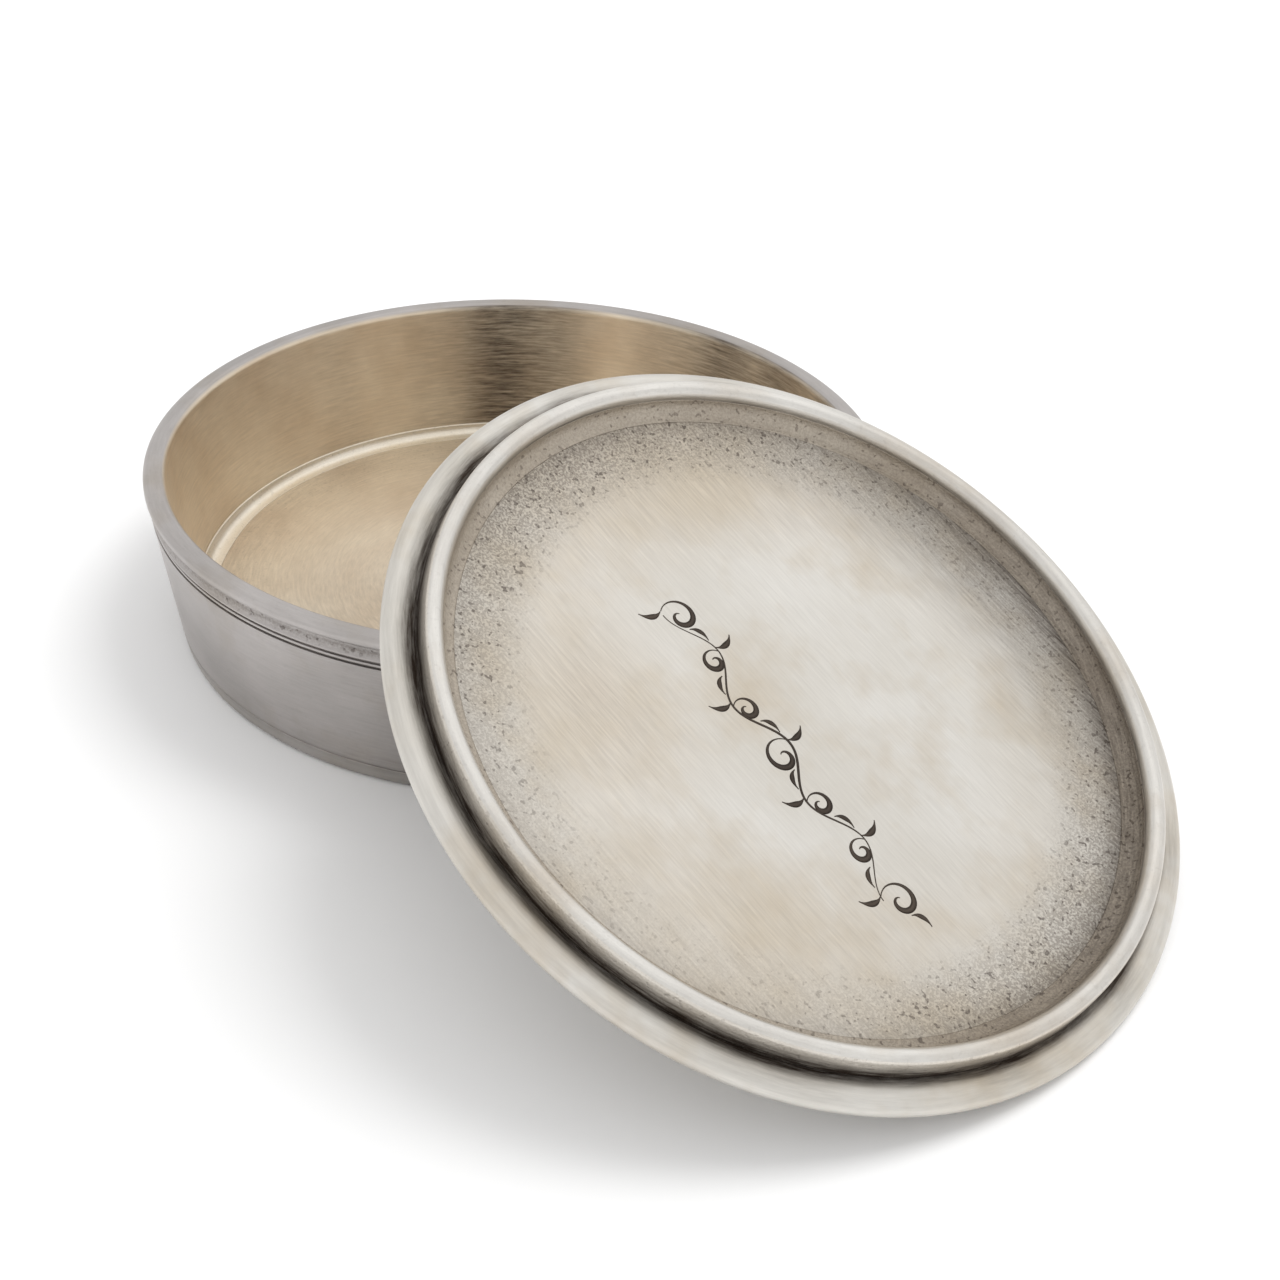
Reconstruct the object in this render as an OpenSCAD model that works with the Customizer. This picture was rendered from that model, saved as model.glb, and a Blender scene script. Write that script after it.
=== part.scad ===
// Round pewter pill box with a lift-off lid.
// The box stands on its base at z = 0, centred on the origin, with its front towards -Y.
// The lid lies off the box with its underside up: its lower edge is on the table at the
// front right, and its outer face leans on the box's rim.
// Every piece is turned about its own axis, so each one is a half profile that is revolved.

/* [Box] */
// Outside diameter at the rim bead
rim_d = 52; // [46:1:64]
// Height of the box, base to rim
box_h = 12.2; // [10:0.1:16]
// Wall at the rim, from the mouth to the outside of the bead
rim_t = 1.45; // [1.35:0.05:1.6]
// How far the plain wall leans out from foot to mouldings
lean = 1.3; // [0.8:0.1:1.5]
// Wall at the foot
foot_t = 1.3; // [1.2:0.1:1.6]
// Thickness of the base plate
base_t = 1.3; // [1:0.1:1.6]
// Leg of the solder fillet round the floor
floor_leg = 0.85; // [0.5:0.05:1]

/* [Rim mouldings] */
// Radius of the round bead at the rim
bead_r = 0.42; // [0.36:0.01:0.46]
// How far the bead stands out from the plain wall
bead_out = 0.3; // [0.2:0.05:0.35]
// Depth below the rim at the middle of the hollow band
cove_z = 1.2; // [1.15:0.05:1.25]
// Radius of the hollow band
cove_r = 0.34; // [0.24:0.02:0.34]
// Depth below the rim at the raised band
band_z = 1.72; // [1.68:0.01:1.78]
// Depth below the rim at the thin bead between the two incised lines
thin_z = 2.12; // [2.1:0.01:2.2]
// Width of each incised line
line_w = 0.12; // [0.08:0.01:0.14]

/* [Lid] */
// How far the lid's edge stands in from the rim bead
lid_in = 0.6; // [0.4:0.1:0.8]
// Thickness of the brim
brim_t = 1.2; // [1:0.1:1.4]
// Rise of the outer face from the brim to the crown
crown_rise = 1.7; // [1.4:0.1:2]
// Depth of the dished underside at its centre
dish = 0.95; // [0.8:0.05:1.1]
// Gap between the locating ring and the mouth, each side
ring_gap = 1.1; // [0.8:0.1:1.3]
// Wall of the locating ring
ring_t = 1.2; // [1:0.1:1.3]
// Height of the locating ring above the brim
ring_h = 1.4; // [1.2:0.1:1.8]

/* [Resting place of the lid] */
// Slope of the lid, from level
lid_slope = 25.8; // [22:0.2:30]
// Compass direction in which the lid slopes down, from +X
lid_heading = -45; // [-60:1:-30]
// Distance of the lid's centre to the side of that line
lid_side = -9.1; // [-10:0.1:-6]

/* [Hidden] */
$fn = 96;
rim_r = rim_d / 2;
mouth_r = rim_r - rim_t;
wall_r = rim_r - bead_out;                       // plain wall, just under the mouldings
foot_r = wall_r - lean;
floor_r = foot_r - foot_t;
seam = 0.07;                                     // chamfer that draws the hairline above the base
foot_edge = 0.2;                                 // chamfer under the base
lip = 0.12;                                      // chamfer inside the mouth
band_bead_r = 0.17;                              // bead of the raised band
thin_bead_r = 0.11;                              // bead between the incised lines
line_depth = 0.12;
cove_depth = 0.04;
plain_top = box_h - thin_z - 2 * thin_bead_r;    // where the plain wall ends
band_r = wall_r - 0.08;                          // ground that the mouldings stand on
feather = 0.01;                                  // thickness to which solder runs out
lid_r = rim_r - lid_in;
edge_r = brim_t / 2;                             // round edge of the brim
edge_x = lid_r - edge_r;
ring_r = mouth_r - ring_gap;
ring_in = ring_r - ring_t;
ring_edge = 0.3;                                 // rounding of the ring's crest
ring_draft = 0.05;
seat_z = -0.2;                                   // level on which the ring stands
seat_w = 0.95;                                   // width of the hollow outside the ring
toe = 1;                                         // foot of the solder inside the ring
toe_x = ring_in - toe;
toe_edge = 0.03;                                 // gap between its hollow arc and the floor at the toe
crown_w = 2.4;                                   // flat brim outside the crown
crown_step = 2;                                  // width of the step up to the crown
crown_ease = 0.12;                               // easing at the top and foot of that step
crown_drop = 0.5;                                // fall of the crown from its centre to the step
crown_x = lid_r - crown_w - crown_step;
crown_z = -brim_t - crown_rise;
dish_steps = 12;
crown_steps = 7;
// The brim's round edge touches the table, and the outer face clears the rim bead by a hair:
// the domed crown and the round bead let the lid in by rest_in.
rest_in = 0.15;
lid_z = edge_x * sin(lid_slope) + edge_r * cos(lid_slope) + edge_r;
lid_out = rim_r + (box_h - rest_in - crown_z / cos(lid_slope) - lid_z) / tan(lid_slope);

// Radius of the plain wall outside and inside at height z
function out_r(z) = foot_r + lean * z / plain_top;
function in_r(z) = floor_r + (mouth_r - floor_r) * (z - base_t) / (box_h - base_t);
// Outer face of the lid at radius x
function crown(x) = crown_z + crown_drop * pow(x / crown_x, 2);
// Dished underside of the lid at radius x
function dish_z(x) = seat_z - (dish + seat_z) * (1 - pow(x / ring_in, 6));

// One incised line, cut at height z
module incised(z) {
    translate([band_r - line_depth, z - line_w / 2]) square([1, line_w]);
}

module wall_profile() {
    difference() {
        union() {
            polygon([
                [in_r(base_t), base_t], [out_r(base_t) - seam, base_t],
                [out_r(base_t + seam), base_t + seam], [wall_r, plain_top],
                [band_r, plain_top + 0.01], [band_r, box_h - bead_r], [rim_r - bead_r, box_h],
                [mouth_r + lip, box_h], [in_r(box_h - lip), box_h - lip]]);
            translate([rim_r - bead_r, box_h - bead_r]) circle(r = bead_r);
            translate([band_r, box_h - band_z]) circle(r = band_bead_r);
            translate([band_r, box_h - thin_z]) circle(r = thin_bead_r);
        }
        translate([band_r - cove_depth + cove_r, box_h - cove_z]) circle(r = cove_r);
        incised(box_h - 2 * bead_r - line_w / 2);
        incised(box_h - (band_z + thin_z) / 2);
        incised(plain_top);
    }
}

module wall() {
    color([0.66, 0.64, 0.62]) rotate_extrude() wall_profile();
}

module base_plate() {
    color([0.58, 0.56, 0.54]) rotate_extrude()
        polygon([[0, 0], [foot_r - foot_edge, 0], [foot_r, foot_edge],
            [out_r(base_t - seam), base_t - seam], [out_r(base_t) - seam, base_t], [0, base_t]]);
}

module floor_solder() {
    toe_at = in_r(base_t) - floor_leg;
    color([0.84, 0.84, 0.82]) rotate_extrude() difference() {
        polygon([[toe_at, base_t], [in_r(base_t), base_t], [in_r(base_t + floor_leg), base_t + floor_leg]]);
        translate([toe_at, base_t + floor_leg]) circle(r = floor_leg - feather);
    }
}

// Stands its child, a lid piece with its underside at +Z, in the lid's resting place
module lid_place() {
    rotate([0, 0, lid_heading]) translate([lid_out, lid_side, lid_z]) rotate([0, lid_slope, 0]) children();
}

module lid_plate() {
    color([0.80, 0.78, 0.75]) lid_place() rotate_extrude()
        polygon(concat(
            [for (i = [0 : dish_steps]) let (x = toe_x * i / dish_steps) [x, dish_z(x)]],
            [[ring_in, seat_z], [ring_r, seat_z], [ring_r + seat_w, 0]],
            [for (a = [90 : -15 : -90]) [edge_x + edge_r * cos(a), edge_r * (sin(a) - 1)]],
            [[lid_r - crown_w, -brim_t], [lid_r - crown_w - crown_ease, -brim_t - crown_ease],
                [crown_x + crown_ease, crown(crown_x) + crown_ease]],
            [for (i = [0 : crown_steps]) let (x = crown_x * (1 - i / crown_steps)) [x, crown(x)]]));
}

module lid_ring() {
    crest = ring_h - ring_edge;
    outside = ring_r - ring_draft;
    color([0.88, 0.86, 0.82]) lid_place() rotate_extrude() union() {
        polygon([[ring_in, seat_z], [ring_r, seat_z], [outside, crest],
            [outside - ring_edge, ring_h], [ring_in + ring_edge, ring_h], [ring_in, crest]]);
        translate([outside - ring_edge, crest]) circle(r = ring_edge);
        translate([ring_in + ring_edge, crest]) circle(r = ring_edge);
    }
}

module lid_solder() {
    top = dish_z(toe_x) + toe + toe_edge;
    color([0.62, 0.58, 0.53]) lid_place() rotate_extrude() difference() {
        polygon([[toe_x, dish_z(toe_x)], [ring_in, seat_z], [ring_in, top]]);
        translate([toe_x, top]) circle(r = toe - feather);
    }
}

wall();
base_plate();
floor_solder();
lid_plate();
lid_ring();
lid_solder();
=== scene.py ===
"""Round pewter pill box with its lid lying underside up against the rim.

Each CAD node is replaced by a finely turned mesh of the same profile, with rounded
edges, small hand-finishing waves and vertex attributes that steer the pewter material:
patina_and_shade (dark: patina in hollows, and painted shade and painted reflection),
grain (cast pits), warm (golden brown) and brush (coordinates that run along the
polishing strokes). Lengths are in millimetres until a mesh is made;
the floor, the lights and the camera are in metres.
"""
import math

import bmesh
import bpy
import numpy as np
from mathutils import Matrix, Vector


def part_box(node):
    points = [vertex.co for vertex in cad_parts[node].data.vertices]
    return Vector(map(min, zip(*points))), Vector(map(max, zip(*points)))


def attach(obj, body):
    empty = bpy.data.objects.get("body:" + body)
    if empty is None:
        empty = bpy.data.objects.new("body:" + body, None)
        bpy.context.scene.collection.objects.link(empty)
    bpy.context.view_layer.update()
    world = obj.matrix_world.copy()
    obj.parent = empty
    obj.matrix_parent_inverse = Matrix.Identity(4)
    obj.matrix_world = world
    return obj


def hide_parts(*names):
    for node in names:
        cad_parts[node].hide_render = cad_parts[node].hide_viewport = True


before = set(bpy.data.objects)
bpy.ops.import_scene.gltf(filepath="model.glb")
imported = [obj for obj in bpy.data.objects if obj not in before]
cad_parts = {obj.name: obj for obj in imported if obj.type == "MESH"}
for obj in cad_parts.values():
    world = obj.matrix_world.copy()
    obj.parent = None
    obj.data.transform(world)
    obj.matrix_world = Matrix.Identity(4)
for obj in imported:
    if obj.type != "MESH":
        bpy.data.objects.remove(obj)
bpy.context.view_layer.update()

MM = 0.001

# ---------------------------------------------------------------- sizes, as in the CAD
RIM_R = 1000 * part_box("wall")[1][0]
BOX_H = 1000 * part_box("wall")[1][2]
BASE_T = 1000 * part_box("base_plate")[1][2]
RIM_T = 1.45                             # wall at the rim
BEAD_OUT = 0.3                           # how far the rim bead stands out from the plain wall
LEAN = 1.3                               # how far the plain wall leans out, foot to mouldings
FOOT_T = 1.3                             # wall at the foot
MOULDINGS_H = 2.34                       # from the top of the plain wall to the rim
GROUND_IN = 0.08                         # step in from the plain wall to the mouldings' ground
SEAM = 0.07                              # chamfer that draws the hairline above the base
FLOOR_LEG = 0.85                         # leg of the solder fillet round the floor
MOUTH_R = RIM_R - RIM_T
WALL_R = RIM_R - BEAD_OUT
FOOT_R = WALL_R - LEAN
FLOOR_R = FOOT_R - FOOT_T
PLAIN_TOP = BOX_H - MOULDINGS_H
BAND_R = WALL_R - GROUND_IN

LID_IN = 0.6                             # how far the lid's edge stands in from the rim bead
BRIM_T, CROWN_RISE, DISH = 1.2, 1.7, 0.95
RING_GAP, RING_T, RING_H = 1.1, 1.2, 1.4
SEAT_Z = -0.2                            # level on which the ring stands
TOE, TOE_EDGE = 1.0, 0.03                # foot of the solder inside the ring, and its edge
FEATHER = 0.01                           # thickness to which solder runs out
LID_R = RIM_R - LID_IN
EDGE_R = BRIM_T / 2
RING_R = MOUTH_R - RING_GAP
RING_IN = RING_R - RING_T
TOE_X = RING_IN - TOE
CROWN_Z = -BRIM_T - CROWN_RISE

# ---------------------------------------------------------------- the lid's resting place
SLOPE, HEADING = math.radians(25.8), math.radians(-45)
LID_SIDE, REST_IN = -9.1, 0.15
LID_Z = (LID_R - EDGE_R) * math.sin(SLOPE) + EDGE_R * math.cos(SLOPE) + EDGE_R
LID_OUT = RIM_R + (BOX_H - REST_IN - CROWN_Z / math.cos(SLOPE) - LID_Z) / math.tan(SLOPE)
LID_PLACE = np.array(
    Matrix.Rotation(HEADING, 4, "Z")
    @ Matrix.Translation((LID_OUT, LID_SIDE, LID_Z))
    @ Matrix.Rotation(SLOPE, 4, "Y"))


def out_r(z):
    """Radius of the plain wall's outside at height z."""
    return FOOT_R + (WALL_R - FOOT_R) * z / PLAIN_TOP


def in_r(z):
    """Radius of the wall's inside at height z."""
    return FLOOR_R + (MOUTH_R - FLOOR_R) * (z - BASE_T) / (BOX_H - BASE_T)


def dish_z(x):
    """Height of the lid's dished underside, which is straight under the ring's solder."""
    if x > TOE_X:
        return SEAT_Z + (dish_z(TOE_X) - SEAT_Z) * (RING_IN - x) / TOE
    return SEAT_Z - (DISH + SEAT_Z) * (1 - (x / RING_IN) ** 6)


# ---------------------------------------------------------------- profiles
def rounded(corners, bend=6):
    """A profile's points from (x, z, radius) corners, each rounded to its radius."""
    out = []
    for i, (x, z, r) in enumerate(corners):
        here = Vector((x, z))
        if not r:
            out.append(here)
            continue
        before = Vector(corners[i - 1][:2]) - here
        after = Vector(corners[(i + 1) % len(corners)][:2]) - here
        reach = min(r, before.length * 0.49, after.length * 0.49)    # just under half of each side
        a, b = here + before.normalized() * reach, here + after.normalized() * reach
        for t in np.linspace(0, 1, bend + 1):
            out.append(a * (1 - t) ** 2 + here * 2 * t * (1 - t) + b * t * t)
    return out


def solder_line(corner, top, centre, leg, toe):
    """A fillet in a corner: up the wall, then back along a hollow arc to the toe."""
    short = 0.06                         # angle by which the arc stops short at each end
    arc = [Vector((centre[0] + leg * math.cos(a), centre[1] + leg * math.sin(a)))
           for a in np.linspace(-short, short - math.pi / 2, 16)]
    return [Vector(corner), Vector(top)] + arc + [Vector(toe)]


def spaced(points, step, closed):
    """The same line with a point at least every step, and none doubled."""
    out = []
    ends = points[1:] + ([points[0]] if closed else [])
    for a, b in zip(points, ends):
        gap = (b - a).length
        if gap > 1e-4:
            n = max(1, math.ceil(gap / step))
            out += [a.lerp(b, k / n) for k in range(n)]
    return out if closed else out + [points[-1]]


# ---------------------------------------------------------------- shape and shade helpers
def smooth(lo, hi, x):
    """A smooth step from 0 at lo to 1 at hi; lo may be the larger one."""
    t = np.clip((x - lo) / (hi - lo), 0, 1)
    return t * t * (3 - 2 * t)


def bump_at(x, at, wide):
    """A soft bump, 1 at the value at."""
    return np.exp(-((x - at) / wide) ** 2)


def around(T, at, wide):
    """1 towards the direction at, in degrees, falling to 0 over wide."""
    away = np.abs((T - math.radians(at) + np.pi) % (2 * np.pi) - np.pi)
    return smooth(math.radians(wide), 0, away)


def ripple(theta, seed, size):
    """A small hand-finishing wave round the piece."""
    return size * (np.sin(2 * theta + seed) + 0.6 * np.sin(5 * theta + 2.3 * seed)
                   + 0.35 * np.sin(11 * theta + 3.1 * seed)) / 1.6


WAVE, RING_WAVE = 0.012, 0.02            # hand-finishing wave of the turned pieces
AXIS_FADE = 4                            # radius within which the wave dies out


def waved(X, Z, T, size):
    """Radius and height after the hand-finishing wave, which fades out at the axis."""
    fade = smooth(0, AXIS_FADE, X)
    return X + fade * ripple(T, 1.7, size), Z + fade * ripple(T, 4.1, size * 0.6)


# ---------------------------------------------------------------- mesh making
def finish_piece(name, co, faces, material, body, node=None):
    """Makes a mesh object from millimetre points and enters it in the frame."""
    mesh = bpy.data.meshes.new(name)
    mesh.from_pydata((co * MM).tolist(), [], faces)
    mesh.polygons.foreach_set("use_smooth", [True] * len(mesh.polygons))
    mesh.materials.append(material)
    piece = bpy.data.objects.new(name, mesh)
    bpy.context.collection.objects.link(piece)
    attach(piece, body)
    if node:
        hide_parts(node)
    return mesh


def grid_faces(rows, cols, closed):
    """Faces of a turned grid; an open profile ends on the axis in a fan at each end."""
    index = np.arange(rows * cols).reshape(rows, cols)
    lower, upper = (index, np.roll(index, -1, 0)) if closed else (index[:-1], index[1:])
    quads = np.stack([lower, np.roll(lower, -1, 1), np.roll(upper, -1, 1), upper], -1)
    faces = quads.reshape(-1, 4).tolist()
    if closed:
        return faces
    fans = []
    for row, near, turn in ((0, 1, 1), (rows - 1, rows - 2, -1)):
        pole, ring = int(index[row, 0]), index[near].tolist()
        fans.append([[pole, ring[(k + 1) % cols], ring[k]][::turn] for k in range(cols)])
    return fans[0] + faces[cols:-cols] + fans[1]


def drop_loose(mesh):
    """Removes the doubled points on the axis, which no face uses."""
    bm = bmesh.new()
    bm.from_mesh(mesh)
    bmesh.ops.delete(bm, geom=[v for v in bm.verts if not v.link_faces], context="VERTS")
    bm.to_mesh(mesh)
    bm.free()


TURNS, FINE_TURNS = 512, 640             # points round a piece
FOOT_FLAT = 0.5                          # the box has no wave below this height
TOE_BACK, TOE_WANDER = 0.10, 0.16        # mean and wave of a hand-run solder toe
# brush space: round strokes circle at ROUND_R, straight ones are stretched by ALONG and ACROSS
ROUND_R, ALONG, ACROSS = 2.5, 0.08, 1.3


def turned(name, profile, marks, body, node, material, place=None, turns=TURNS,
           step=0.3, closed=True, straight_below=0.0, wave=WAVE, toe=None):
    """A turned piece from its half profile, which runs anticlockwise, outside on the right."""
    line = spaced(profile, step, closed)
    x, z = np.array([tuple(p) for p in line]).T
    run = np.concatenate([[0], np.cumsum(np.hypot(np.diff(x), np.diff(z)))])
    theta = np.arange(turns) * 2 * np.pi / turns
    X, T = np.meshgrid(x, theta, indexing="ij")
    Z, S = z[:, None] + 0 * T, run[:, None] + 0 * T
    if toe:                              # hand-run solder: the toe of the fillet wanders
        X = X - smooth(toe[0], toe[1], X) * (TOE_BACK + ripple(T, 2.2, TOE_WANDER))
    radius, height = waved(X, Z, T, wave)
    if place is None:
        height = np.where(Z > FOOT_FLAT, height, Z)
    co = np.stack([radius * np.cos(T), radius * np.sin(T), height], -1)
    brush = np.stack([ROUND_R * np.cos(T), ROUND_R * np.sin(T), S * ACROSS], -1)
    straight = np.stack([co[..., 0] * ALONG, co[..., 1] * ACROSS, 0 * X], -1)
    brush = np.where((X < straight_below)[..., None], straight, brush)
    co = co.reshape(-1, 3)
    if place is not None:
        co = co @ place[:3, :3].T + place[:3, 3]
    mesh = finish_piece(name, co, grid_faces(*X.shape, closed), material, body, node)
    for key, value in marks(X, Z, T).items():
        value = np.clip(value + 0 * X, 0, 1).astype(np.float32).ravel()
        mesh.attributes.new(key, "FLOAT", "POINT").data.foreach_set("value", value)
    mesh.attributes.new("brush", "FLOAT_VECTOR", "POINT").data.foreach_set(
        "vector", brush.astype(np.float32).ravel())
    if not closed:
        drop_loose(mesh)


# ---------------------------------------------------------------- pewter
# dark colour of patina, also used for painted shade and painted reflection
PATINA_AND_SHADE = (0.055, 0.040, 0.030)
WARM_DARK, WARM_LIGHT = (0.80, 0.66, 0.49), (0.96, 0.85, 0.68)
STROKE_DARK, STROKE_LIGHT = (0.55, 0.54, 0.53), (1.0, 1.0, 1.0)
SPECK, PIT = (0.22, 0.185, 0.16), (0.09, 0.07, 0.06)
STROKE_SPAN = (0.3, 0.7)                 # part of the stroke noise that is used
TAN_WEIGHT, STROKE_WEIGHT, PIT_WEIGHT = 0.65, 0.34, 0.6
METAL = 0.93
HAIR_HEIGHT = 0.10                       # of the fine strokes, against 1 for a pit
BUMP_STRENGTH, BUMP_DEPTH = 0.55, 0.00006


def pewter(name, light, shade, tan, rough=0.40, brushed=1.0):
    """Antiqued pewter: cloudy metal, tan tarnish, polishing strokes, pits, and patina with painted
    shade.
    """
    mat = bpy.data.materials.new(name)
    mat.use_nodes = True
    tree = mat.node_tree
    tree.nodes.clear()

    def put(value, socket):
        if isinstance(value, bpy.types.NodeSocket):
            tree.links.new(value, socket)
        else:
            socket.default_value = (*value, 1) if isinstance(value, tuple) else value

    def node(kind, **inputs):
        n = tree.nodes.new(kind)
        for key, value in inputs.items():
            put(value, n.inputs[key.replace("_", " ")])
        return n

    def attribute(key, output="Fac"):
        n = node("ShaderNodeAttribute")
        n.attribute_name = key
        return n.outputs[output]

    def noise(scale, detail, co, roughness=0.5):
        n = node("ShaderNodeTexNoise", Scale=scale, Detail=detail, Roughness=roughness, Vector=co)
        return n.outputs[0]

    def ramp(value, lo, hi, a=0.0, b=1.0):
        n = node("ShaderNodeMapRange", Value=value, From_Min=lo, From_Max=hi, To_Min=a, To_Max=b)
        return n.outputs[0]

    def calc(op, a, b):
        n = node("ShaderNodeMath")
        n.operation = op
        put(a, n.inputs[0])
        put(b, n.inputs[1])
        return n.outputs[0]

    def mix(factor, a, b, blend="MIX"):
        n = node("ShaderNodeMix")
        n.data_type, n.blend_type = "RGBA", blend
        for socket, value in zip((n.inputs[0], n.inputs[6], n.inputs[7]), (factor, a, b)):
            put(value, socket)
        return n.outputs[2]

    here = node("ShaderNodeTexCoord").outputs["Object"]
    brush = attribute("brush", "Vector")
    patina_and_shade, grain, warm = attribute("patina_and_shade"), attribute("grain"), attribute("warm")
    # in object space scales are per metre: clouds are 8 to 10 mm across, specks 0.15, pits 0.3
    cloud = noise(95, 3, here)
    blotch = noise(130, 4, here, 0.6)
    strokes = noise(4.5, 5, brush, 0.65)
    hairs = noise(16, 3, brush, 0.6)
    speck = noise(6500, 2, here, 0.6)
    pits = noise(3000, 1, here)

    colour = mix(ramp(cloud, 0.35, 0.68), shade, light)
    colour = mix(calc("MULTIPLY", ramp(blotch, 0.46, 0.68), TAN_WEIGHT), colour, tan)
    colour = mix(warm, colour, mix(ramp(blotch, 0.3, 0.7), WARM_DARK, WARM_LIGHT))
    stroke_tone = mix(ramp(strokes, *STROKE_SPAN), STROKE_DARK, STROKE_LIGHT)
    colour = mix(STROKE_WEIGHT * brushed, colour, stroke_tone, "MULTIPLY")
    # cast pits: dark specks, thicker where grain is high
    dark_speck = calc("MULTIPLY", ramp(speck, 0.54, 0.44), grain)
    pitted = calc("MINIMUM", calc("MULTIPLY", grain, 2.0), 1.0)
    deep_pit = calc("MULTIPLY", ramp(pits, 0.36, 0.31), pitted)
    colour = mix(calc("MULTIPLY", dark_speck, PIT_WEIGHT), colour, SPECK)
    colour = mix(calc("MULTIPLY", deep_pit, PIT_WEIGHT), colour, PIT)
    # patina and the painted shade that goes with it are broken up by the polishing strokes
    broken = calc("MULTIPLY", patina_and_shade, ramp(strokes, *STROKE_SPAN, 1.25, 0.60))
    darkening = calc("MINIMUM", broken, 1.0)
    colour = mix(darkening, colour, PATINA_AND_SHADE)

    dull = calc("ADD", calc("MULTIPLY", darkening, 0.18), calc("MULTIPLY", grain, 0.16))
    roughness = calc("ADD", ramp(strokes, *STROKE_SPAN, rough - 0.05, rough + 0.07), dull)
    hollows = calc("ADD", dark_speck, deep_pit)
    height = calc("SUBTRACT", calc("MULTIPLY", hairs, HAIR_HEIGHT * brushed), hollows)
    bump = node("ShaderNodeBump", Strength=BUMP_STRENGTH, Distance=BUMP_DEPTH, Height=height)
    shader = node("ShaderNodeBsdfPrincipled", Metallic=METAL, Base_Color=colour, Roughness=roughness,
                  Normal=bump.outputs["Normal"])
    tree.links.new(shader.outputs[0], node("ShaderNodeOutputMaterial").inputs[0])
    return mat


wall_pewter = pewter("pewter_wall", light=(0.545, 0.515, 0.50), shade=(0.44, 0.415, 0.40),
                     tan=(0.41, 0.36, 0.305))
base_pewter = pewter("pewter_base", light=(0.52, 0.49, 0.47), shade=(0.41, 0.39, 0.37),
                     tan=(0.41, 0.36, 0.305), rough=0.42)
lid_pewter = pewter("pewter_lid", light=(0.75, 0.73, 0.69), shade=(0.67, 0.64, 0.585),
                    tan=(0.56, 0.48, 0.37), rough=0.42)
ring_pewter = pewter("pewter_ring", light=(0.78, 0.76, 0.72), shade=(0.68, 0.655, 0.615),
                     tan=(0.60, 0.53, 0.44), rough=0.34)
# near-white solder: partly the solder's own bright colour, partly a painted highlight along the floor
# fillet
bright_solder_and_highlight = pewter("solder_bright", light=(0.92, 0.88, 0.80), shade=(0.84, 0.79, 0.69),
                       tan=(0.76, 0.68, 0.55), rough=0.36, brushed=0.4)
dark_solder = pewter("solder_dark", light=(0.56, 0.51, 0.44), shade=(0.46, 0.41, 0.35),
                     tan=(0.40, 0.33, 0.25), rough=0.42, brushed=0.5)
cut_pewter = pewter("cut_patina", light=(0.15, 0.12, 0.095), shade=(0.07, 0.055, 0.045),
                    tan=(0.09, 0.07, 0.055), rough=0.5)

# ---------------------------------------------------------------- box wall
LINE = -0.12                             # depth of an incised line, from the mouldings' ground
LINES_AT = (0.0, 0.345, 1.41)            # heights of the incised lines above the plain wall
COVE_AT = 1.05
# (height above the plain wall, distance out from the ground, rounding), from the bottom up
MOULDINGS = [
    # lowest incised line, thin bead and second line
    (-0.07, 0.07, 0.03), (-0.05, LINE, 0.03), (0.06, LINE, 0.03),
    (0.09, 0.04, 0.05), (0.26, 0.05, 0.05), (0.29, LINE, 0.03), (0.40, LINE, 0.03),
    # raised band, hollow band and top line
    (0.43, 0.02, 0.04), (0.58, 0.19, 0.12), (0.76, 0.02, 0.10),
    (0.98, -0.06, 0.20), (1.30, -0.04, 0.12), (1.36, LINE, 0.03), (1.46, LINE, 0.03)]
wall_profile = rounded(
    [(in_r(BASE_T), BASE_T, 0), (out_r(BASE_T) - SEAM, BASE_T, 0),
     (out_r(BASE_T + SEAM), BASE_T + SEAM, 0.04)]
    + [(BAND_R + out, PLAIN_TOP + up, r) for up, out, r in MOULDINGS]
    # rim bead, then the mouth and the inside
    + [(RIM_R - 0.14, BOX_H - 0.80, 0.10), (RIM_R, BOX_H - 0.62, 0.14), (RIM_R, BOX_H - 0.24, 0.24),
       (RIM_R - 0.34, BOX_H, 0.26), (MOUTH_R + 0.26, BOX_H, 0.24),
       (in_r(BOX_H - 0.3), BOX_H - 0.3, 0.22), (in_r(BASE_T), BASE_T + 0.01, 0)])


def wall_marks(X, Z, T):
    inside = X < in_r(Z) + 0.14
    outside = ~inside
    up = Z - PLAIN_TOP
    lines = sum(bump_at(up, at, 0.055) for at in LINES_AT)
    cove = bump_at(up, COVE_AT, 0.26)
    patch = 0.10 * np.clip(np.sin(3 * T + 0.4) * np.sin(Z * 0.7 + 2 * np.sin(2 * T)), 0, 1)
    seam = bump_at(Z, BASE_T, 0.09)
    darkening = 0.85 * lines + 0.20 * cove + 0.5 * seam + 0.06 * smooth(4.5, 1.0, Z) + patch
    # inside: painted reflection and shade, in upright dark bands, darkest at the back and towards the
    # right, and darker down towards the floor
    bands = 0.10 * np.sin(9 * T) + 0.06 * np.sin(23 * T + 1)
    brown = (0.66 * around(T, 92, 26) + 0.62 * around(T, 36, 46)
             + 0.10 * smooth(BASE_T + 2.2, BASE_T, Z) + bands * (1 - around(T, 160, 60)))
    return {"patina_and_shade": outside * darkening + inside * brown, "grain": outside * (0.55 * cove + 0.03),
            "warm": 0.95 * inside * smooth(BOX_H - 0.05, BOX_H - 0.35, Z)}


turned("box_wall", wall_profile, wall_marks, "box", "wall", wall_pewter,
       turns=FINE_TURNS, step=0.22)

# ---------------------------------------------------------------- base plate and floor
base_profile = rounded([
    (0, 0, 0), (FOOT_R - 0.3, 0, 0.1), (FOOT_R, 0.24, 0.2),
    (out_r(BASE_T - SEAM), BASE_T - SEAM, 0.04), (out_r(BASE_T) - 0.08, BASE_T, 0), (0, BASE_T, 0)])


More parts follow.
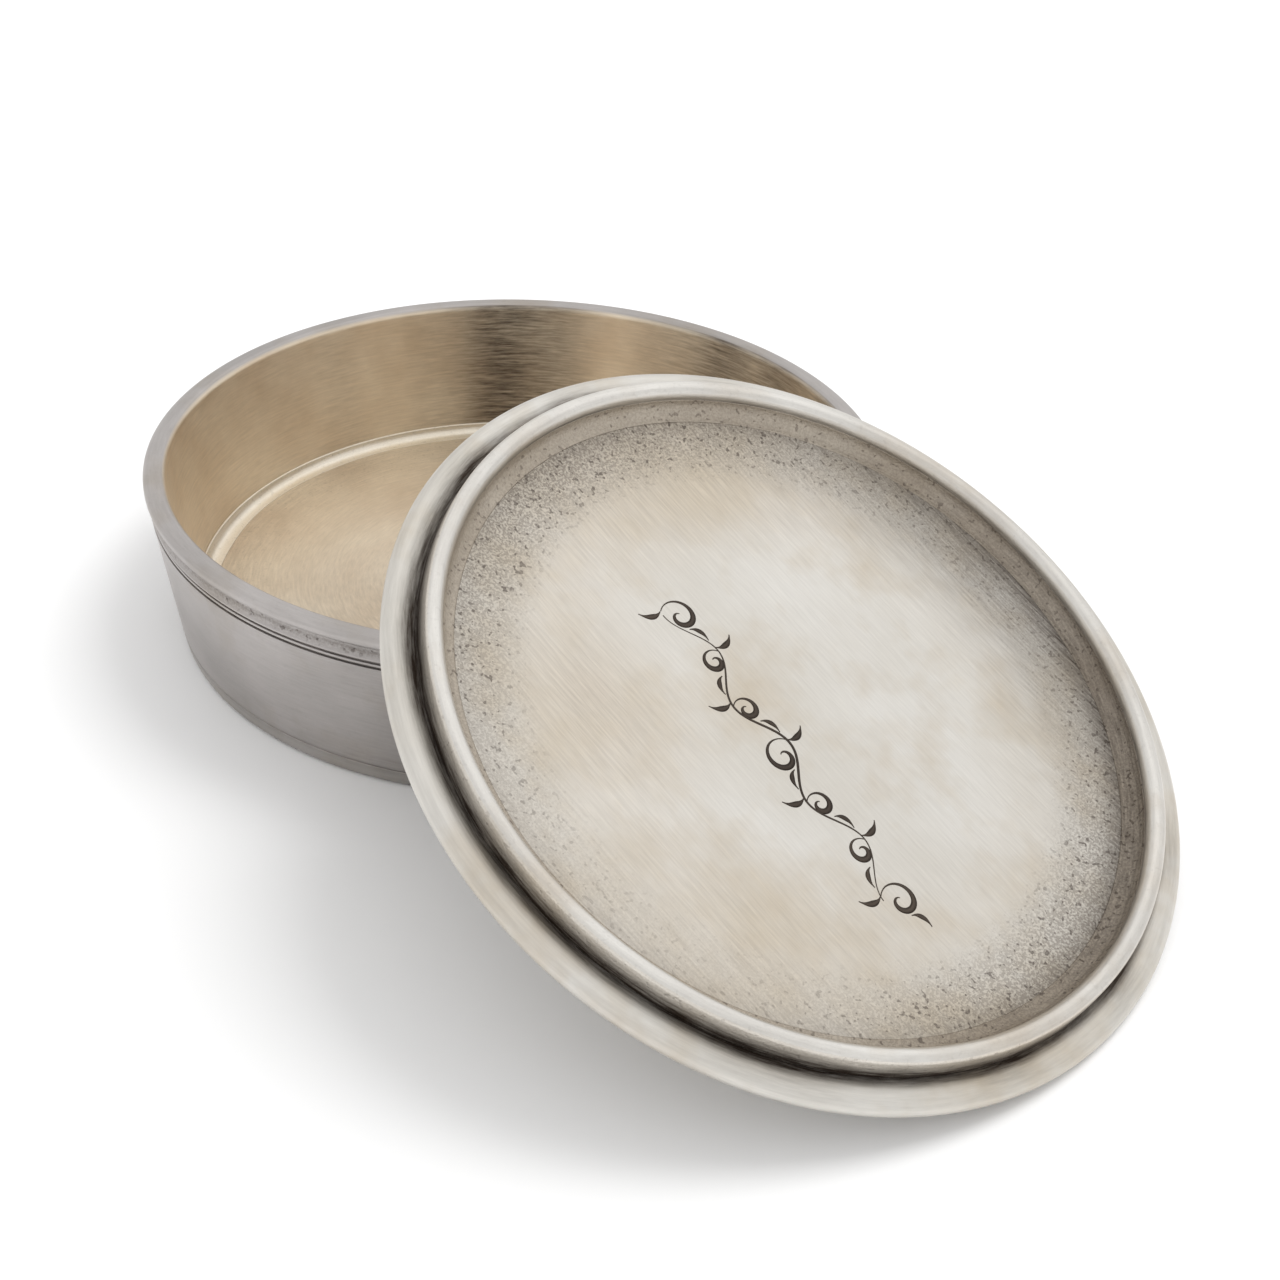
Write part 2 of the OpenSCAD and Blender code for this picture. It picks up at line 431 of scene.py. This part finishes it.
def base_marks(X, Z, T):
    side = smooth(FOOT_R - 0.6, FOOT_R - 0.2, X)
    floor = (Z > BASE_T - 0.02) * (1 - side)
    under = Z < 0.02
    edges = 0.28 * smooth(0.5, 0, Z) + 0.4 * smooth(BASE_T - 0.2, BASE_T, Z)
    tarnish = 0.12 * smooth(17, FLOOR_R - 0.7, X) + 0.16 * around(T, -150, 60)
    return {"patina_and_shade": side * edges + floor * tarnish + 0.12 * under,
            "grain": 0.10 * floor * smooth(14, 22, X) + 0.15 * under * smooth(8, 22, X),
            "warm": 0.80 * floor}


turned("box_base", base_profile, base_marks, "box", "base_plate", base_pewter,
       step=0.5, closed=False, wave=0.0)

leg_x, leg_z = in_r(BASE_T) - FLOOR_LEG, BASE_T + FLOOR_LEG
floor_line = solder_line(
    (in_r(BASE_T), BASE_T), (in_r(leg_z), leg_z), (leg_x, leg_z), FLOOR_LEG - FEATHER, (leg_x, BASE_T))


def floor_solder_marks(X, Z, T):
    return {"patina_and_shade": 0.05 * smooth(leg_x + 0.3, leg_x, X) + 0.08 * smooth(BASE_T + 0.4, leg_z, Z),
            "grain": 0.08, "warm": 0.25}


turned("floor_fillet", floor_line, floor_solder_marks, "box", "floor_solder",
       bright_solder_and_highlight, step=0.12, wave=0.0, toe=(in_r(BASE_T) - 0.3, leg_x))

# ---------------------------------------------------------------- lid plate
CROWN_X = LID_R - 4.4                    # outer edge of the crown, on the lid's outer face
DISH_POINTS = 46
crown_side = [(CROWN_X / 3, CROWN_Z + 0.05, 2), (CROWN_X * 2 / 3, CROWN_Z + 0.22, 2),
              (CROWN_X, CROWN_Z + 0.5, 0.5), (CROWN_X + 0.6, CROWN_Z + 0.62, 0.4),
              (LID_R - 2.8, -BRIM_T - 0.12, 0.5), (LID_R - 2.2, -BRIM_T, 0.4)]
brim_edge = [(LID_R - 0.62, -BRIM_T, 0.2), (LID_R - 0.14, -BRIM_T + 0.18, 0.3), (LID_R, -EDGE_R, 0.3),
             (LID_R - 0.10, -0.24, 0.3), (LID_R - 0.5, -0.02, 0.4)]
ring_seat = [(RING_R + 0.95, -0.02, 0.4), (RING_R + 0.5, -0.06, 0.3), (RING_R, SEAT_Z, 0.1),
             (RING_IN, SEAT_Z, 0)]
lid_profile = rounded([(0, CROWN_Z, 0)] + crown_side + brim_edge + ring_seat)
lid_profile += [Vector((x, dish_z(x))) for x in np.linspace(RING_IN - 0.05, 0, DISH_POINTS)]


def lid_marks(X, Z, T):
    face = Z > -DISH - 0.1                               # the underside, which is in view
    rim = smooth(RING_R - 0.3, RING_R + 0.02, X)
    floor = (1 - rim) * face
    # outside the ring: a dark corner of patina, widened at the left with painted shade, and tan
    # streaks on the brim
    corner = 0.85 * smooth(RING_R + 0.80 + 0.50 * around(T, -150, 120), RING_R + 0.05, X)
    streak = 0.26 * np.clip(np.sin(9 * T + 3 * np.sin(2 * T)), 0, 1) * smooth(LID_R, RING_R + 0.6, X)
    # inside it: painted shade that spreads from the far side, and a dark line against the ring,
    # darkened further on the far side with painted shade
    shade = 0.40 * smooth(12.0, 20.5, X) * around(T, 88, 75)
    edge = smooth(RING_IN - 2.8, RING_IN - 0.3, X) * (
        0.16 + 0.46 * around(T, 35, 100) + 0.12 * around(T, 170, 60))
    pitted = smooth(16.0, 20.0, X) * (
        0.16 + 0.70 * around(T, 10, 75) + 0.70 * around(T, 190, 95) + 0.20 * around(T, 100, 60))
    # tan tarnish: a broad ring of it, and a patch to the left of the scroll
    left_patch = np.exp(-((X * np.cos(T) + 6) / 5.5) ** 2 - ((X * np.sin(T) + 11) / 4.5) ** 2)
    tarnish = 0.4 * left_patch + 0.30 * smooth(9, 17, X) * (
        0.4 + around(T, 165, 70) + 0.5 * around(T, -60, 60))
    back = 0.10 + 0.35 * bump_at(X, CROWN_X + 1.5, 0.5)
    on_brim, on_floor = corner + streak, shade + edge + 0.5 * tarnish
    return {"patina_and_shade": rim * face * on_brim + floor * on_floor + ~face * back,
            "grain": floor * pitted + 0.10 * rim * face * corner + 0.10 * ~face,
            "warm": floor * (tarnish + 0.10 * edge) + 0.25 * rim * face * streak}


turned("lid_disc", lid_profile, lid_marks, "lid", "lid_plate", lid_pewter,
       place=LID_PLACE, turns=FINE_TURNS, closed=False, straight_below=RING_IN - 0.4)

# ---------------------------------------------------------------- locating ring and its solder
ring_profile = rounded([
    (RING_IN, SEAT_Z, 0), (RING_R + 0.02, SEAT_Z, 0), (RING_R - 0.03, SEAT_Z + 0.5, 0.3),
    (RING_R - 0.08, RING_H - 0.5, 0.3), (RING_R - 0.14, RING_H - 0.08, 0.28),
    (RING_R - 0.55, RING_H, 0.3), (RING_IN + 0.28, RING_H - 0.06, 0.26),
    (RING_IN, RING_H - 0.45, 0.3)])


def ring_marks(X, Z, T):
    outer, inner = X > RING_R - 0.22, X < RING_IN + 0.12
    root = smooth(SEAT_Z + 1.25, SEAT_Z + 0.05, Z)
    return {"patina_and_shade": outer * (0.90 * root + 0.16 * smooth(RING_H, RING_H - 0.5, Z))
            + inner * 0.55 * smooth(RING_H - 0.1, RING_H - 0.9, Z),
            "grain": 0.10 * outer + 0.05, "warm": 0.15 * inner + 0.20 * outer}


turned("lid_flange", ring_profile, ring_marks, "lid", "lid_ring", ring_pewter,
       place=LID_PLACE, turns=FINE_TURNS, step=0.1, wave=RING_WAVE)

toe_top = dish_z(TOE_X) + TOE + TOE_EDGE
lid_solder_line = solder_line(
    (RING_IN, SEAT_Z), (RING_IN, toe_top), (TOE_X, toe_top), TOE - FEATHER, (TOE_X, dish_z(TOE_X)))


def lid_solder_marks(X, Z, T):
    # patina, darker towards the far side with painted shade
    return {"patina_and_shade": 0.16 + 0.42 * around(T, 45, 110), "grain": 0.35 + 0.3 * around(T, 10, 75),
            "warm": 0.15}


turned("lid_fillet", lid_solder_line, lid_solder_marks, "lid", "lid_solder",
       dark_solder, place=LID_PLACE, step=0.12, wave=0.0)


# ---------------------------------------------------------------- engraved scroll on the lid
HAIR, FINE, FULL = 0.035, 0.09, 0.20     # half widths of the cut lines
STEM_LONG, STEM_HIGH, CURLS = 21.0, 0.85, 6
CURL_FROM, CURL_TO = 130, 560            # degrees through which a curl winds in
LEAF_BEND = 50                           # degrees
# a cut line's section: (share of the half width to one side, height above the dished floor)
CUT_SECTION = ((1, 0.004), (0, 0.012), (-1, 0.004), (0, -0.03))
SCROLL_FROM, SCROLL_TO = (-9.8, -2.3), (12.8, -4.7)


def spiral(cx, cy, r0, r1, a0, a1, n=48):
    """A spiral from radius r0 at angle a0 to radius r1 at a1, in degrees."""
    t = np.linspace(0, 1, n)
    a, r = np.radians(a0 + (a1 - a0) * t), r0 + (r1 - r0) * t
    return np.stack([cx + r * np.cos(a), cy + r * np.sin(a)], -1)


def leaf(x, y, turn, length):
    """A short bent stroke from (x, y), setting off at the angle turn, in degrees."""
    t = np.linspace(0, 1, 20)
    a = np.radians(turn + LEAF_BEND * t)
    return np.stack([x + length * t * np.cos(a), y + length * t * np.sin(a)], -1)


def vine():
    """(line, thinnest, thickest) of a waving stem with a curl and two leaves at each bend."""
    x = np.linspace(-STEM_LONG / 2, STEM_LONG / 2, 240)
    bend = STEM_LONG / CURLS
    strokes = [(np.stack([x, STEM_HIGH * np.cos(np.pi * x / bend)], -1), HAIR, FINE)]
    for k in range(-CURLS // 2, CURLS // 2 + 1):
        side = 1 if k % 2 == 0 else -1
        size = 1.25 if k % 3 == 0 else 0.85
        curl = spiral(k * bend + 0.5, 0, size, 0.18, CURL_FROM, CURL_TO) * (1, side)
        curl[:, 1] += side * (STEM_HIGH - size * math.sin(math.radians(CURL_FROM)) - 0.05)
        strokes.append((curl, HAIR, FULL))
        strokes.append((leaf(k * bend - 0.3, STEM_HIGH, 55, 1.5) * (1, side), HAIR, FULL))
        strokes.append((leaf(k * bend + 1.5, -0.1, -80, 1.3) * (1, side), HAIR, FULL * 0.8))
    return strokes


def strip_faces(base, n):
    """Sides and ends of a closed strip of n four-point sections, from the point base on."""
    last = base + 4 * (n - 1)
    sides = [[i + k, i + (k + 1) % 4, i + 4 + (k + 1) % 4, i + 4 + k]
             for i in range(base, last, 4) for k in range(4)]
    return sides + [[base + 3, base + 2, base + 1, base], [last, last + 1, last + 2, last + 3]]


def engraved(name, strokes, start, end, material):
    """Dark cut lines as slim closed strips, a hair proud of the dished floor, from start to end."""
    start, end = np.array(start), np.array(end)
    axis = (end - start) / np.linalg.norm(end - start)
    across = np.array([-axis[1], axis[0]])
    points, faces = [], []
    for line, thin, thick in strokes:
        line = (start + end) / 2 + line[:, :1] * axis + line[:, 1:] * across
        along = np.gradient(line, axis=0)
        along /= np.linalg.norm(along, axis=1)[:, None]
        side = np.stack([-along[:, 1], along[:, 0]], -1)
        width = thin + (thick - thin) * np.sin(np.pi * np.linspace(0, 1, len(line))) ** 2
        faces += strip_faces(len(points), len(line))
        for p, s, w in zip(line, side, width):
            for share, lift in CUT_SECTION:
                q = p + s * (w * share)
                r, t = math.hypot(*q), math.atan2(q[1], q[0])
                points.append((*q, waved(r, dish_z(r), t, WAVE)[1] + lift))
    co = np.array(points) @ LID_PLACE[:3, :3].T + LID_PLACE[:3, 3]
    finish_piece(name, co, faces, material, "lid")


engraved("engraved_scroll", vine(), SCROLL_FROM, SCROLL_TO, cut_pewter)

# ---------------------------------------------------------------- studio floor
FLOOR_SIZE, FLOOR_Z = 3.0, -2e-5         # a hair below the box, so that no faces coincide
floor_mat = bpy.data.materials.new("studio_floor")
floor_mat.use_nodes = True
floor_shader = floor_mat.node_tree.nodes["Principled BSDF"]
floor_shader.inputs["Base Color"].default_value = (0.93, 0.93, 0.93, 1)
floor_shader.inputs["Roughness"].default_value = 0.9
floor_shader.inputs["Specular IOR Level"].default_value = 0.1
floor_mesh = bpy.data.meshes.new("studio_floor")
floor_corners = [(x * FLOOR_SIZE, y * FLOOR_SIZE, FLOOR_Z)
                 for x, y in ((-1, -1), (1, -1), (1, 1), (-1, 1))]
floor_mesh.from_pydata(floor_corners, [], [(0, 1, 2, 3)])
floor_mesh.materials.append(floor_mat)
studio_floor = bpy.data.objects.new("studio_floor", floor_mesh)
bpy.context.collection.objects.link(studio_floor)


# ---------------------------------------------------------------- lights
def softbox(name, place, size, watts, seen_in_metal=True, aim=(0.01, -0.01, 0.005)):
    """A square area light, aimed at the object."""
    light = bpy.data.lights.new(name, "AREA")
    light.size, light.energy = size, watts
    lamp = bpy.data.objects.new(name, light)
    lamp.location = place
    lamp.rotation_euler = (Vector(aim) - Vector(place)).to_track_quat("-Z", "Y").to_euler()
    lamp.visible_glossy = seen_in_metal
    bpy.context.collection.objects.link(lamp)


# the key throws the shadow and is kept out of reflections, the fill gives the metal its soft sheen
softbox("key", place=(0.22, 0.08, 0.50), size=0.26, watts=1.0, seen_in_metal=False)
softbox("fill", place=(0.20, 0.22, 0.46), size=0.50, watts=0.22)

SKY = 0.95
world = bpy.data.worlds.new("studio")
bpy.context.scene.world = world
world.use_nodes = True
sky = world.node_tree.nodes["Background"]
sky.inputs["Color"].default_value = (1, 1, 1, 1)
sky.inputs["Strength"].default_value = SKY
bpy.context.scene.view_settings.view_transform = "Standard"

# ---------------------------------------------------------------- camera
CAMERA_AT = (0, -0.1158, 0.0743)
PITCH, YAW, ROLL = math.radians(34.11), math.radians(4.59), math.radians(2.78)
SENSOR, LENS = 36, 51.6
camera_data = bpy.data.cameras.new("camera")
camera_data.sensor_width = SENSOR
camera_data.lens = LENS
camera_data.clip_start = 0.01
camera = bpy.data.objects.new("camera", camera_data)
camera.matrix_world = (
    Matrix.Translation(CAMERA_AT) @ Matrix.Rotation(-YAW, 4, "Z")
    @ Matrix.Rotation(math.pi / 2 - PITCH, 4, "X") @ Matrix.Rotation(ROLL, 4, "Z"))
bpy.context.collection.objects.link(camera)
bpy.context.scene.camera = camera
